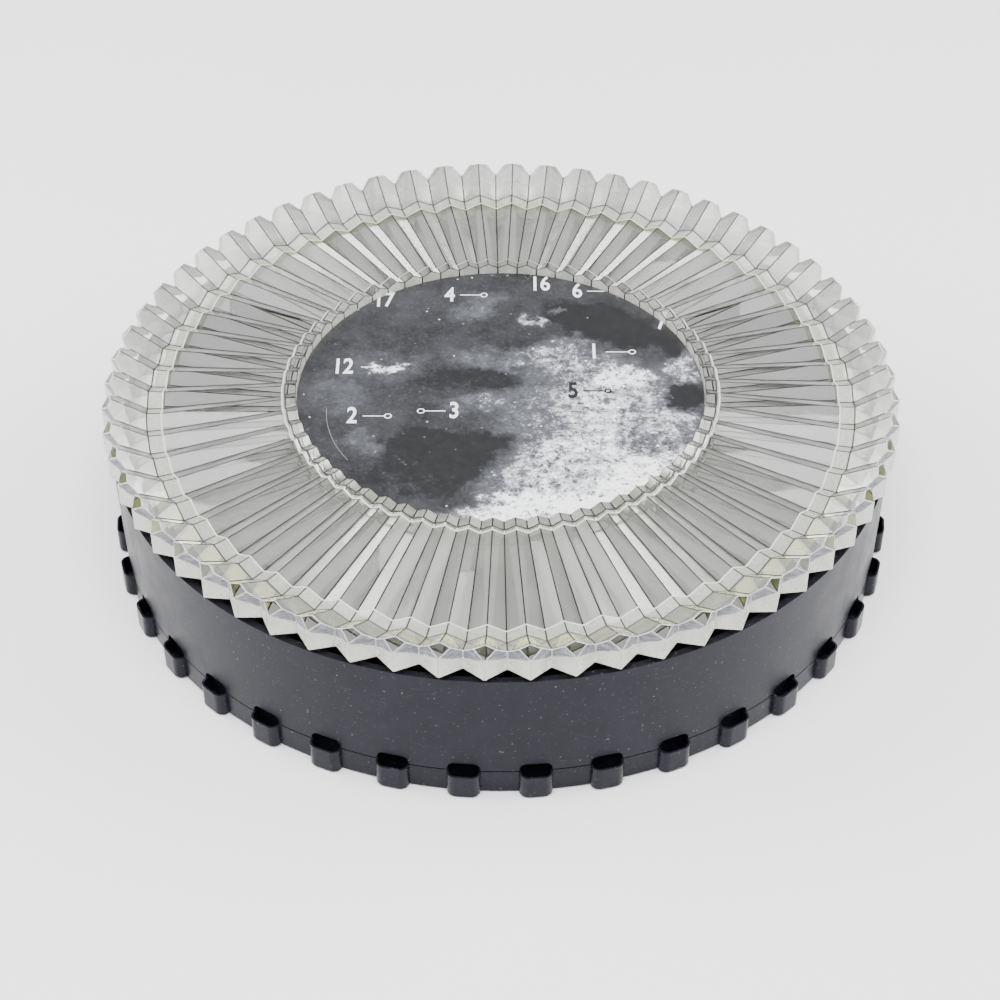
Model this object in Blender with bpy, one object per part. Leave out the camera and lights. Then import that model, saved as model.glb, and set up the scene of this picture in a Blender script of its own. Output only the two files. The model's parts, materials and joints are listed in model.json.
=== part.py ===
"""Survey prism: a fluted clear prism ring and a Moon chart on a cover that turns and lifts off a drum.

The frame stands on z = 0 with +Z up. The drum, its foot ring and the base stay still, the turntable
turns about +Z on the pivot post, and the cover stands on the turntable and lifts off it.
"""
import math

import bmesh
import bpy
from mathutils import Matrix, Vector

MM = 0.001
FIT = 0.3 * MM                       # gap between pieces that touch
WELD = 0.001 * MM                    # corners closer than this are one corner

# Prism ring: one clear moulding of V ribs. Heights are above its flat underside.
RIB_COUNT = 62
RIB_PHASE = math.radians(-92.05)     # azimuth of the first ridge, from +X
TIP_RADIUS = 149.0 * MM
WALL_VALLEY_RADIUS = 143.6 * MM
BORE_RADIUS = 77.0 * MM
RIDGE = [                            # radius and height along a ridge, from the bore to the kite facet
    (BORE_RADIUS, 7.9 * MM),
    (81.2 * MM, 7.5 * MM),
    (82.3 * MM, 6.7 * MM),
    (127.2 * MM, 4.4 * MM),
    (132.7 * MM, 4.7 * MM),
    (145.0 * MM, 12.8 * MM),
]
FACET_FALL = 0.48                    # fall of every top facet across its rib
KITE_FALL = 1.05                     # fall of the kite facet outwards

# Index lugs round the foot.
LUG_COUNT = 37
LUG_PHASE = math.radians(-95.0)
LUG_WIDTH = 11.7 * MM
LUG_REACH = 3.3 * MM
LUG_CORNER = 2.6 * MM
LUG_ROOT = 1.2 * MM                  # depth of a lug's root inside the ring
LUG_WALL = 0.7 * MM
POCKET_FLOOR = 3.0 * MM
POCKET_INNER_RADIUS = 144.1 * MM
NOTCH_HEIGHT = 3.3 * MM
NOTCH_CORNER = 2.4 * MM
CORNER_STEPS = 2                     # flats round a lug's or notch's corner

# Heights of the stack above the surface it stands on.
BASE_Z = 0.8 * MM
PLATE_TOP_Z = 3.8 * MM
SEAM_Z = 10.1 * MM
SUPPORT_Z = 38.8 * MM
SUPPORT_TOP_Z = 40.8 * MM
TURNTABLE_Z = 44.8 * MM
TURNTABLE_TOP_Z = 47.8 * MM
DRUM_TOP_Z = 54.7 * MM
TRAY_TOP_Z = 56.0 * MM
REFLECTOR_TOP_Z = 57.2 * MM
PRISM_Z = REFLECTOR_TOP_Z + FIT
CHART_TOP_Z = 61.1 * MM

# Drum and foot ring.
DRUM_FOOT_RADIUS = 146.2 * MM
DRUM_TOP_RADIUS = 146.9 * MM
DRUM_WALL = 2.6 * MM
SUPPORT_INNER_RADIUS = 128.0 * MM
SUPPORT_RADIUS = 143.0 * MM
RING_INNER_RADIUS = 141.4 * MM
SPIGOT_INNER_RADIUS = 141.0 * MM
SPIGOT_RADIUS = 143.3 * MM
SPIGOT_TOP_Z = 14.4 * MM
LEDGE_Z = PLATE_TOP_Z + FIT
LEDGE_TOP_Z = 6.9 * MM
LEDGE_INNER_RADIUS = 138.6 * MM      # the base plate is drawn up against this ledge

# Base plate, feet and screws.
PLATE_RADIUS = 141.0 * MM
FOOT_COUNT = 4
FOOT_CIRCLE = 105.0 * MM
FOOT_RADIUS = 8.0 * MM
FOOT_TOP_Z = 2.2 * MM
FOOT_CHAMFER = 0.6 * MM
FOOT_PHASE = math.radians(45.0)
LEG_COUNT = 6
LEG_CIRCLE = 133.0 * MM
LEG_RADIUS = 4.6 * MM
SCREW_RADIUS = 2.0 * MM
SCREW_HOLE_RADIUS = 2.4 * MM
SCREW_HEAD_RADIUS = 3.8 * MM
SCREW_HEAD_Z = 1.0 * MM
SCREW_HEAD_TOP_Z = 2.3 * MM
SCREW_SOCKET_RADIUS = 1.5 * MM
SCREW_SOCKET_TOP_Z = 1.8 * MM
COUNTERBORE_RADIUS = 4.2 * MM
BASE_SCREW_TOP_Z = 20.0 * MM
LEG_HOLE_TOP_Z = 22.0 * MM
POST_SCREW_COUNT = 3
POST_SCREW_CIRCLE = 14.5 * MM
POST_SCREW_TOP_Z = 6.2 * MM

# Pivot.
POST_FLANGE_RADIUS = 20.0 * MM
POST_FLANGE_TOP_Z = 7.1 * MM
POST_RADIUS = 8.0 * MM
POST_SHOULDER_Z = 33.5 * MM
JOURNAL_RADIUS = 6.0 * MM
POST_TOP_Z = 51.2 * MM
GROOVE_RADIUS = 5.2 * MM
GROOVE_Z = 49.1 * MM
GROOVE_TOP_Z = 50.3 * MM
CLIP_RADIUS = 9.0 * MM
CLIP_Z = 49.2 * MM
CLIP_TOP_Z = 50.0 * MM
CLIP_MOUTH = 7.0 * MM
WASHER_RADIUS = 12.0 * MM
THRUST_WASHER_TOP_Z = 35.0 * MM
BUSH_FLANGE_TOP_Z = 36.8 * MM
BUSH_RADIUS = 8.0 * MM
HUB_RADIUS = 15.0 * MM

# Turntable and what stands on it.
TURNTABLE_RADIUS = 141.0 * MM
RIB_WIDTH = 2.4 * MM
RIB_ROOT = 1.0 * MM                  # length of a rib's end inside a wall
TURNTABLE_RIB_END = 122.0 * MM
TURNTABLE_RIB_Z = 40.8 * MM
TURNTABLE_RIB_COUNT = 8
PAD_COUNT = 6
PAD_CIRCLE = 135.5 * MM
PAD_RADIUS = 5.0 * MM
PAD_PHASE = math.radians(30.0)
PIN_COUNT = 3
PIN_CIRCLE = 60.0 * MM
PIN_RADIUS = 3.0 * MM
PIN_SEAT_Z = 45.0 * MM
PIN_TOP_Z = 53.0 * MM
PIN_CHAMFER = 1.0 * MM
PIN_BOSS_RADIUS = 6.0 * MM
PIN_PHASE = math.radians(90.0)
TRAY_RADIUS = 139.0 * MM
TRAY_FLOOR_TOP_Z = 50.5 * MM
TRAY_WALL = 3.0 * MM
TRAY_HOLE_RADIUS = 14.0 * MM
TRAY_HUB_RADIUS = 18.0 * MM
TRAY_RIB_COUNT = 8
REFLECTOR_RADIUS = 141.6 * MM
CHART_RADIUS = BORE_RADIUS - FIT
CHART_THICKNESS = 0.4 * MM

# Facets of the round pieces.
DRUM_SEGMENTS = 2 * LUG_COUNT
DISC_SEGMENTS = 60
SMALL_SEGMENTS = 14
PIVOT_SEGMENTS = 24
SCREW_SEGMENTS = 10
SMOOTH_ANGLE = math.radians(30.0)


def clear_scene():
    for old in list(bpy.data.objects):
        bpy.data.objects.remove(old, do_unlink=True)


def material(name, colour, roughness, metallic=0.0, transmission=0.0):
    made = bpy.data.materials.new(name)
    made.use_nodes = True
    shader = made.node_tree.nodes["Principled BSDF"]
    shader.inputs["Base Color"].default_value = (*colour, 1.0)
    shader.inputs["Roughness"].default_value = roughness
    shader.inputs["Metallic"].default_value = metallic
    shader.inputs["Transmission Weight"].default_value = transmission
    return made


def add_object(name, mesh_data, finish, smooth=True):
    """Turn a bmesh into a named object with outward normals."""
    bmesh.ops.recalc_face_normals(mesh_data, faces=mesh_data.faces)
    mesh = bpy.data.meshes.new(name)
    mesh_data.to_mesh(mesh)
    mesh_data.free()
    if smooth:
        mesh.shade_smooth()
        mesh.set_sharp_from_angle(angle=SMOOTH_ANGLE)
    mesh.materials.append(finish)
    made = bpy.data.objects.new(name, mesh)
    bpy.context.scene.collection.objects.link(made)
    return made


def polar(radius, azimuth, height=0.0):
    return Vector((radius * math.cos(azimuth), radius * math.sin(azimuth), height))


def ring_azimuths(count, phase=0.0):
    return [phase + math.tau * index / count for index in range(count)]


def spin_profile(mesh_data, profile, segments):
    """Turn a closed outline of radius and height once round +Z."""
    corners = [mesh_data.verts.new((radius, 0.0, height)) for radius, height in profile]
    edges = [mesh_data.edges.new((corner, corners[index - 1])) for index, corner in enumerate(corners)]
    bmesh.ops.spin(
        mesh_data,
        geom=corners + edges,
        axis=(0.0, 0.0, 1.0),
        cent=(0.0, 0.0, 0.0),
        angle=math.tau,
        steps=segments,
        use_merge=True,
    )
    bmesh.ops.remove_doubles(mesh_data, verts=mesh_data.verts, dist=WELD)
    bmesh.ops.dissolve_degenerate(mesh_data, edges=mesh_data.edges, dist=WELD)


def turned(name, profile, finish, segments):
    mesh_data = bmesh.new()
    spin_profile(mesh_data, profile, segments)
    return add_object(name, mesh_data, finish)


def annulus(inner, outer, bottom, top):
    """The outline of a washer, or of a disc where the inner radius is 0."""
    return [(inner, bottom), (outer, bottom), (outer, top), (inner, top)]


def add_cylinder(mesh_data, centre, radius, bottom, top, segments=SMALL_SEGMENTS):
    place = Matrix.Translation((centre.x, centre.y, (bottom + top) / 2.0))
    bmesh.ops.create_cone(
        mesh_data,
        cap_ends=True,
        segments=segments,
        radius1=radius,
        radius2=radius,
        depth=top - bottom,
        matrix=place,
    )


def add_prism(mesh_data, outline, offset):
    """Extrude a flat outline of 3-D points by a vector."""
    corners = [mesh_data.verts.new(point) for point in outline]
    face = mesh_data.faces.new(corners)
    extruded = bmesh.ops.extrude_face_region(mesh_data, geom=[face], use_keep_orig=True)
    moved = [item for item in extruded["geom"] if isinstance(item, bmesh.types.BMVert)]
    bmesh.ops.translate(mesh_data, verts=moved, vec=offset)


def add_spoke(mesh_data, azimuth, inner, outer, bottom, top):
    """A straight radial bar, for stiffening ribs."""
    along = polar(1.0, azimuth)
    across = polar(RIB_WIDTH / 2.0, azimuth + math.pi / 2.0)
    outline = [
        along * inner - across,
        along * outer - across,
        along * outer + across,
        along * inner + across,
    ]
    lifted = [point + Vector((0.0, 0.0, bottom)) for point in outline]
    add_prism(mesh_data, lifted, Vector((0.0, 0.0, top - bottom)))


def guide(name, mesh_data):
    """A body that only cuts or joins another object."""
    bmesh.ops.recalc_face_normals(mesh_data, faces=mesh_data.faces)
    mesh = bpy.data.meshes.new(name)
    mesh_data.to_mesh(mesh)
    mesh_data.free()
    made = bpy.data.objects.new(name, mesh)
    made.display_type = "WIRE"
    made.hide_render = True
    bpy.context.scene.collection.objects.link(made)
    return made


def combine(target, other, operation):
    step = target.modifiers.new(other.name, "BOOLEAN")
    step.operation = operation
    step.solver = "EXACT"
    step.use_self = operation == "UNION"
    step.object = other


def drilled(target, name, azimuths, circle, radius, bottom, top, segments=SMALL_SEGMENTS):
    """Drill a circle of equal holes into an object."""
    mesh_data = bmesh.new()
    for azimuth in azimuths:
        add_cylinder(mesh_data, polar(circle, azimuth), radius, bottom, top, segments)
    combine(target, guide(name, mesh_data), "DIFFERENCE")


def rounded_tab(width, reach, corner):
    """Half of a rounded tab as (across, outwards) points, from its root to its flat front."""
    points = [(width / 2.0, 0.0)]
    for index in range(CORNER_STEPS + 1):
        turn = math.pi / 2.0 * index / CORNER_STEPS
        across = width / 2.0 - corner + corner * math.cos(turn)
        outwards = reach - corner + corner * math.sin(turn)
        points.append((across, outwards))
    return points


def tab_outline(azimuth, root_radius, width, reach, corner):
    """A whole rounded tab in plan, standing out from the root radius."""
    half = rounded_tab(width, reach, corner)
    both = [(-across, outwards) for across, outwards in half] + [point for point in reversed(half)]
    along = polar(1.0, azimuth)
    side = polar(1.0, azimuth + math.pi / 2.0)
    return [along * (root_radius + outwards) + side * across for across, outwards in both]


# ---------------------------------------------------------------- prism ring

def kite_corner():
    """Where a top facet, the kite facet and the outer wall meet: distance out, across and up."""
    half_pitch = math.pi / RIB_COUNT
    valley_out = WALL_VALLEY_RADIUS * math.cos(half_pitch)
    valley_across = WALL_VALLEY_RADIUS * math.sin(half_pitch)
    wall_slope = (TIP_RADIUS - valley_out) / valley_across
    (inner_radius, inner_height), (kite_radius, kite_height) = RIDGE[-2:]
    rise = (kite_height - inner_height) / (kite_radius - inner_radius)
    turn = rise + KITE_FALL
    across = turn * (TIP_RADIUS - kite_radius) / (FACET_FALL + wall_slope * turn)
    out = TIP_RADIUS - wall_slope * across
    return out, across, kite_height - KITE_FALL * (out - kite_radius)


def valley_points():
    """Valley points beside each ridge point, so that every top facet is flat."""
    half_pitch = math.pi / RIB_COUNT
    points = []
    for radius, height in RIDGE[:-1]:
        across = radius * math.tan(half_pitch)
        points.append((radius / math.cos(half_pitch), height - FACET_FALL * across))
    (inner_radius, inner_height), (kite_radius, kite_height) = RIDGE[-2:]
    rise = (kite_height - inner_height) / (kite_radius - inner_radius)
    out = WALL_VALLEY_RADIUS * math.cos(half_pitch)
    across = WALL_VALLEY_RADIUS * math.sin(half_pitch)
    rim_height = inner_height + rise * (out - inner_radius) - FACET_FALL * across
    points.append((WALL_VALLEY_RADIUS, rim_height))
    return points


def make_prism_ring():
    mesh_data = bmesh.new()
    half_pitch = math.pi / RIB_COUNT
    side_out, side_across, side_height = kite_corner()
    tip_height = RIDGE[-1][1] - KITE_FALL * (TIP_RADIUS - RIDGE[-1][0])
    lift = Vector((0.0, 0.0, PRISM_Z))

    def vertex(radius, azimuth, height):
        return mesh_data.verts.new(polar(radius, azimuth, height) + lift)

    ridges = []
    valleys = []
    for azimuth in ring_azimuths(RIB_COUNT, RIB_PHASE):
        along = polar(1.0, azimuth)
        side = polar(1.0, azimuth + math.pi / 2.0)
        up = Vector((0.0, 0.0, side_height))
        ridges.append({
            "top": [vertex(radius, azimuth, height) for radius, height in RIDGE],
            "tip": vertex(TIP_RADIUS, azimuth, tip_height),
            "foot": vertex(TIP_RADIUS, azimuth, 0.0),
            "bore": vertex(BORE_RADIUS, azimuth, 0.0),
            "right": mesh_data.verts.new(along * side_out - side * side_across + up + lift),
            "left": mesh_data.verts.new(along * side_out + side * side_across + up + lift),
        })
        turned_on = azimuth + half_pitch
        valleys.append({
            "top": [vertex(radius, turned_on, height) for radius, height in valley_points()],
            "foot": vertex(WALL_VALLEY_RADIUS, turned_on, 0.0),
            "bore": vertex(BORE_RADIUS / math.cos(half_pitch), turned_on, 0.0),
        })

    for index, ridge in enumerate(ridges):
        mesh_data.faces.new((ridge["top"][-1], ridge["right"], ridge["tip"], ridge["left"]))
        for valley, corner in ((valleys[index], "left"), (valleys[index - 1], "right")):
            for step in range(len(RIDGE) - 2):
                quad = ridge["top"][step:step + 2] + valley["top"][step:step + 2][::-1]
                mesh_data.faces.new(quad)
            rim = [ridge["top"][-2], ridge["top"][-1], ridge[corner], valley["top"][-1], valley["top"][-2]]
            mesh_data.faces.new(rim)
            wall = [ridge["foot"], ridge["tip"], ridge[corner], valley["top"][-1], valley["foot"]]
            mesh_data.faces.new(wall)
            mesh_data.faces.new((ridge["bore"], ridge["top"][0], valley["top"][0], valley["bore"]))
            mesh_data.faces.new((ridge["bore"], ridge["foot"], valley["foot"], valley["bore"]))
    finish = material("clear_acrylic", (0.90, 0.92, 0.86), 0.05, transmission=1.0)
    add_object("prism_ring", mesh_data, finish, smooth=False)


# ---------------------------------------------------------------- drum and foot

def make_lug_ring(finish):
    profile = [
        (LEDGE_INNER_RADIUS, LEDGE_Z),
        (RING_INNER_RADIUS, LEDGE_Z),
        (RING_INNER_RADIUS, BASE_Z),
        (DRUM_FOOT_RADIUS, BASE_Z),
        (DRUM_FOOT_RADIUS, SEAM_Z),
        (SPIGOT_RADIUS, SEAM_Z),
        (SPIGOT_RADIUS, SPIGOT_TOP_Z),
        (SPIGOT_INNER_RADIUS, SPIGOT_TOP_Z),
        (SPIGOT_INNER_RADIUS, LEDGE_TOP_Z),
        (LEDGE_INNER_RADIUS, LEDGE_TOP_Z),
    ]
    ring = turned("lug_ring", profile, finish, DRUM_SEGMENTS)
    lugs = bmesh.new()
    pockets = bmesh.new()
    root = DRUM_FOOT_RADIUS - LUG_ROOT
    pocket_reach = DRUM_FOOT_RADIUS + LUG_REACH - LUG_WALL - POCKET_INNER_RADIUS
    for azimuth in ring_azimuths(LUG_COUNT, LUG_PHASE):
        outline = tab_outline(azimuth, root, LUG_WIDTH, LUG_ROOT + LUG_REACH, LUG_CORNER)
        raised = [point + Vector((0.0, 0.0, BASE_Z)) for point in outline]
        add_prism(lugs, raised, Vector((0.0, 0.0, SEAM_Z - BASE_Z)))
        inner = tab_outline(
            azimuth,
            POCKET_INNER_RADIUS,
            LUG_WIDTH - 2.0 * LUG_WALL,
            pocket_reach,
            LUG_CORNER - LUG_WALL,
        )
        raised = [point + Vector((0.0, 0.0, POCKET_FLOOR)) for point in inner]
        add_prism(pockets, raised, Vector((0.0, 0.0, SEAM_Z - POCKET_FLOOR + FIT)))
    combine(ring, guide("lugs", lugs), "UNION")
    combine(ring, guide("lug_pockets", pockets), "DIFFERENCE")


def notch_outline(azimuth, radius, bottom, top):
    """An upright opening with rounded top corners, in the plane across the azimuth."""
    along = polar(radius, azimuth)
    side = polar(1.0, azimuth + math.pi / 2.0)
    half = rounded_tab(LUG_WIDTH - LUG_WALL, top - bottom, NOTCH_CORNER)
    both = [(-across, rise) for across, rise in half] + [point for point in reversed(half)]
    return [along + side * across + Vector((0.0, 0.0, bottom + rise)) for across, rise in both]


def make_drum_wall(finish):
    """A plain tube, bonded over the foot ring's spigot."""
    foot_z = SEAM_Z + FIT
    profile = [
        (DRUM_FOOT_RADIUS - DRUM_WALL, foot_z),
        (DRUM_FOOT_RADIUS, foot_z),
        (DRUM_TOP_RADIUS, DRUM_TOP_Z),
        (DRUM_TOP_RADIUS - DRUM_WALL, DRUM_TOP_Z),
    ]
    drum = turned("drum_wall", profile, finish, DRUM_SEGMENTS)
    notches = bmesh.new()
    inner_radius = DRUM_FOOT_RADIUS - 2.0 * DRUM_WALL
    outer_radius = DRUM_FOOT_RADIUS + DRUM_WALL
    for azimuth in ring_azimuths(LUG_COUNT, LUG_PHASE):
        outline = notch_outline(azimuth, inner_radius, SEAM_Z, SEAM_Z + NOTCH_HEIGHT + FIT)
        add_prism(notches, outline, polar(outer_radius - inner_radius, azimuth))
    combine(drum, guide("notches", notches), "DIFFERENCE")


def make_support_ring(finish):
    """The ring that carries the glide pads, on legs that stand on the base plate."""
    profile = annulus(SUPPORT_INNER_RADIUS, SUPPORT_RADIUS, SUPPORT_Z, SUPPORT_TOP_Z)
    ring = turned("support_ring", profile, finish, DRUM_SEGMENTS)
    azimuths = ring_azimuths(LEG_COUNT)
    legs = bmesh.new()
    for azimuth in azimuths:
        add_cylinder(legs, polar(LEG_CIRCLE, azimuth), LEG_RADIUS, LEDGE_Z, SUPPORT_Z + FIT)
    combine(ring, guide("support_legs", legs), "UNION")
    drilled(ring, "leg_holes", azimuths, LEG_CIRCLE, SCREW_HOLE_RADIUS, BASE_Z, LEG_HOLE_TOP_Z)


def make_base_plate(finish):
    plate = turned("base_plate", annulus(0.0, PLATE_RADIUS, BASE_Z, PLATE_TOP_Z), finish, DISC_SEGMENTS)
    below = 0.0
    above = PLATE_TOP_Z + FIT
    feet = ring_azimuths(FOOT_COUNT, FOOT_PHASE)
    drilled(plate, "foot_recesses", feet, FOOT_CIRCLE, FOOT_RADIUS + FIT, below, FOOT_TOP_Z + FIT)
    for name, count, circle in (
        ("base", LEG_COUNT, LEG_CIRCLE),
        ("post", POST_SCREW_COUNT, POST_SCREW_CIRCLE),
    ):
        azimuths = ring_azimuths(count)
        drilled(plate, name + "_holes", azimuths, circle, SCREW_HOLE_RADIUS, below, above)
        counterbore_top = SCREW_HEAD_TOP_Z + FIT
        drilled(plate, name + "_counterbores", azimuths, circle, COUNTERBORE_RADIUS, below, counterbore_top)


def make_feet():
    rubber = material("foot_rubber", (0.03, 0.03, 0.03), 0.85)
    profile = [
        (0.0, 0.0),
        (FOOT_RADIUS - FOOT_CHAMFER, 0.0),
        (FOOT_RADIUS, FOOT_CHAMFER),
        (FOOT_RADIUS, FOOT_TOP_Z),
        (0.0, FOOT_TOP_Z),
    ]
    for index, azimuth in enumerate(ring_azimuths(FOOT_COUNT, FOOT_PHASE)):
        foot = turned(f"foot_{index + 1}", profile, rubber, SMALL_SEGMENTS)
        foot.location = polar(FOOT_CIRCLE, azimuth)


def make_screws(name, count, circle, top, finish):
    """Socket head screws, driven up from below."""
    profile = [
        (0.0, SCREW_SOCKET_TOP_Z),
        (SCREW_SOCKET_RADIUS, SCREW_SOCKET_TOP_Z),
        (SCREW_SOCKET_RADIUS, SCREW_HEAD_Z),
        (SCREW_HEAD_RADIUS, SCREW_HEAD_Z),
        (SCREW_HEAD_RADIUS, SCREW_HEAD_TOP_Z),
        (SCREW_RADIUS, SCREW_HEAD_TOP_Z),
        (SCREW_RADIUS, top),
        (0.0, top),
    ]
    for index, azimuth in enumerate(ring_azimuths(count)):
        screw = turned(f"{name}_{index + 1}", profile, finish, SCREW_SEGMENTS)
        screw.location = polar(circle, azimuth)


# ---------------------------------------------------------------- pivot

def make_pivot(steel):
    profile = [
        (0.0, LEDGE_Z),
        (POST_FLANGE_RADIUS, LEDGE_Z),
        (POST_FLANGE_RADIUS, POST_FLANGE_TOP_Z),
        (POST_RADIUS, POST_FLANGE_TOP_Z),
        (POST_RADIUS, POST_SHOULDER_Z),
        (JOURNAL_RADIUS, POST_SHOULDER_Z),
        (JOURNAL_RADIUS, GROOVE_Z),
        (GROOVE_RADIUS, GROOVE_Z),
        (GROOVE_RADIUS, GROOVE_TOP_Z),
        (JOURNAL_RADIUS, GROOVE_TOP_Z),
        (JOURNAL_RADIUS, POST_TOP_Z),
        (0.0, POST_TOP_Z),
    ]
    post = turned("pivot_post", profile, steel, PIVOT_SEGMENTS)
    screws = ring_azimuths(POST_SCREW_COUNT)
    hole_top = POST_SCREW_TOP_Z + FIT
    drilled(post, "post_threads", screws, POST_SCREW_CIRCLE, SCREW_HOLE_RADIUS, BASE_Z, hole_top)
    bore = JOURNAL_RADIUS + FIT
    thrust = annulus(bore, WASHER_RADIUS, POST_SHOULDER_Z + FIT, THRUST_WASHER_TOP_Z)
    turned("thrust_washer", thrust, steel, PIVOT_SEGMENTS)
    top = annulus(bore, WASHER_RADIUS, TURNTABLE_TOP_Z + FIT, GROOVE_Z - FIT)
    turned("top_washer", top, steel, PIVOT_SEGMENTS)


def make_clip(steel):
    """An open spring ring, snapped into the groove of the post."""
    profile = annulus(GROOVE_RADIUS + FIT, CLIP_RADIUS, CLIP_Z, CLIP_TOP_Z)
    clip = turned("retaining_clip", profile, steel, SMALL_SEGMENTS)
    mouth = bmesh.new()
    place = Matrix.Translation((CLIP_RADIUS, 0.0, CLIP_Z))
    stretch = Matrix.Diagonal((2.0 * CLIP_MOUTH, CLIP_MOUTH, CLIP_MOUTH, 1.0))
    bmesh.ops.create_cube(mouth, size=1.0, matrix=place @ stretch)
    combine(clip, guide("clip_mouth", mouth), "DIFFERENCE")


def make_bush():
    bore = JOURNAL_RADIUS + FIT
    bottom = THRUST_WASHER_TOP_Z + FIT
    profile = [
        (bore, bottom),
        (WASHER_RADIUS, bottom),
        (WASHER_RADIUS, BUSH_FLANGE_TOP_Z),
        (BUSH_RADIUS, BUSH_FLANGE_TOP_Z),
        (BUSH_RADIUS, TURNTABLE_TOP_Z),
        (bore, TURNTABLE_TOP_Z),
    ]
    brass = material("bush_brass", (0.72, 0.53, 0.25), 0.35, metallic=1.0)
    turned("pivot_bush", profile, brass, PIVOT_SEGMENTS)


# ---------------------------------------------------------------- turntable and cover

def make_turntable(finish):
    hub_z = BUSH_FLANGE_TOP_Z + FIT
    bore = BUSH_RADIUS + FIT
    profile = [
        (bore, hub_z),
        (HUB_RADIUS, hub_z),
        (HUB_RADIUS, TURNTABLE_Z),
        (TURNTABLE_RADIUS, TURNTABLE_Z),
        (TURNTABLE_RADIUS, TURNTABLE_TOP_Z),
        (bore, TURNTABLE_TOP_Z),
    ]
    table = turned("turntable", profile, finish, DISC_SEGMENTS)
    spokes = bmesh.new()
    for azimuth in ring_azimuths(TURNTABLE_RIB_COUNT):
        inner = HUB_RADIUS - RIB_WIDTH
        add_spoke(spokes, azimuth, inner, TURNTABLE_RIB_END, TURNTABLE_RIB_Z, TURNTABLE_Z + FIT)
    combine(table, guide("turntable_ribs", spokes), "UNION")
    pins = ring_azimuths(PIN_COUNT, PIN_PHASE)
    drilled(table, "pin_seats", pins, PIN_CIRCLE, PIN_RADIUS + FIT, PIN_SEAT_Z, TURNTABLE_TOP_Z + FIT)


def make_glide_pads():
    nylon = material("glide_nylon", (0.85, 0.84, 0.78), 0.45)
    profile = annulus(0.0, PAD_RADIUS, SUPPORT_TOP_Z + FIT, TURNTABLE_Z - FIT)
    for index, azimuth in enumerate(ring_azimuths(PAD_COUNT, PAD_PHASE)):
        pad = turned(f"glide_pad_{index + 1}", profile, nylon, SMALL_SEGMENTS)
        pad.location = polar(PAD_CIRCLE, azimuth)


def make_locating_pins(steel):
    bottom = PIN_SEAT_Z + FIT
    profile = [
        (0.0, bottom),
        (PIN_RADIUS, bottom),
        (PIN_RADIUS, PIN_TOP_Z - PIN_CHAMFER),
        (PIN_RADIUS - PIN_CHAMFER, PIN_TOP_Z),
        (0.0, PIN_TOP_Z),
    ]
    for index, azimuth in enumerate(ring_azimuths(PIN_COUNT, PIN_PHASE)):
        pin = turned(f"locating_pin_{index + 1}", profile, steel, SMALL_SEGMENTS)
        pin.location = polar(PIN_CIRCLE, azimuth)


def make_cover_tray(finish):
    bottom = TURNTABLE_TOP_Z + FIT
    profile = [
        (TRAY_HOLE_RADIUS, bottom),
        (TRAY_RADIUS, bottom),
        (TRAY_RADIUS, TRAY_TOP_Z),
        (TRAY_RADIUS - TRAY_WALL, TRAY_TOP_Z),
        (TRAY_RADIUS - TRAY_WALL, TRAY_FLOOR_TOP_Z),
        (TRAY_HUB_RADIUS, TRAY_FLOOR_TOP_Z),
        (TRAY_HUB_RADIUS, TRAY_TOP_Z),
        (TRAY_HOLE_RADIUS, TRAY_TOP_Z),
    ]
    tray = turned("cover_tray", profile, finish, DISC_SEGMENTS)
    spokes = bmesh.new()
    for azimuth in ring_azimuths(TRAY_RIB_COUNT, math.pi / TRAY_RIB_COUNT):
        inner = TRAY_HUB_RADIUS - RIB_WIDTH
        outer = TRAY_RADIUS - TRAY_WALL + RIB_ROOT
        add_spoke(spokes, azimuth, inner, outer, TRAY_FLOOR_TOP_Z - FIT, TRAY_TOP_Z)
    combine(tray, guide("tray_ribs", spokes), "UNION")
    pins = ring_azimuths(PIN_COUNT, PIN_PHASE)
    bosses = bmesh.new()
    boss_z = TRAY_FLOOR_TOP_Z - FIT
    for azimuth in pins:
        add_cylinder(bosses, polar(PIN_CIRCLE, azimuth), PIN_BOSS_RADIUS, boss_z, TRAY_TOP_Z)
    combine(tray, guide("pin_bosses", bosses), "UNION")
    drilled(tray, "pin_holes", pins, PIN_CIRCLE, PIN_RADIUS + FIT, TURNTABLE_TOP_Z, TRAY_TOP_Z + FIT)


def make_reflector():
    silver = material("reflector_silver", (0.78, 0.78, 0.76), 0.4)
    profile = annulus(0.0, REFLECTOR_RADIUS, TRAY_TOP_Z + FIT, REFLECTOR_TOP_Z)
    turned("reflector_disc", profile, silver, DISC_SEGMENTS)


def make_chart():
    board = material("chart_board", (0.86, 0.85, 0.80), 0.7)
    print_grey = material("chart_print", (0.30, 0.30, 0.32), 0.6)
    chart_z = CHART_TOP_Z - CHART_THICKNESS
    turned("chart_board", annulus(0.0, CHART_RADIUS, PRISM_Z, chart_z - FIT), board, DISC_SEGMENTS)
    turned("moon_chart", annulus(0.0, CHART_RADIUS, chart_z, CHART_TOP_Z), print_grey, DISC_SEGMENTS)


def main():
    clear_scene()
    black = material("drum_black", (0.045, 0.045, 0.055), 0.35)
    steel = material("pivot_steel", (0.60, 0.60, 0.62), 0.3, metallic=1.0)
    screw_steel = material("screw_steel", (0.45, 0.45, 0.46), 0.4, metallic=1.0)
    make_lug_ring(black)
    make_drum_wall(black)
    make_support_ring(black)
    make_base_plate(black)
    make_feet()
    make_screws("base_screw", LEG_COUNT, LEG_CIRCLE, BASE_SCREW_TOP_Z, screw_steel)
    make_screws("post_screw", POST_SCREW_COUNT, POST_SCREW_CIRCLE, POST_SCREW_TOP_Z, screw_steel)
    make_pivot(steel)
    make_clip(steel)
    make_glide_pads()
    make_turntable(black)
    make_bush()
    make_locating_pins(steel)
    make_cover_tray(black)
    make_reflector()
    make_prism_ring()
    make_chart()


main()
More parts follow.
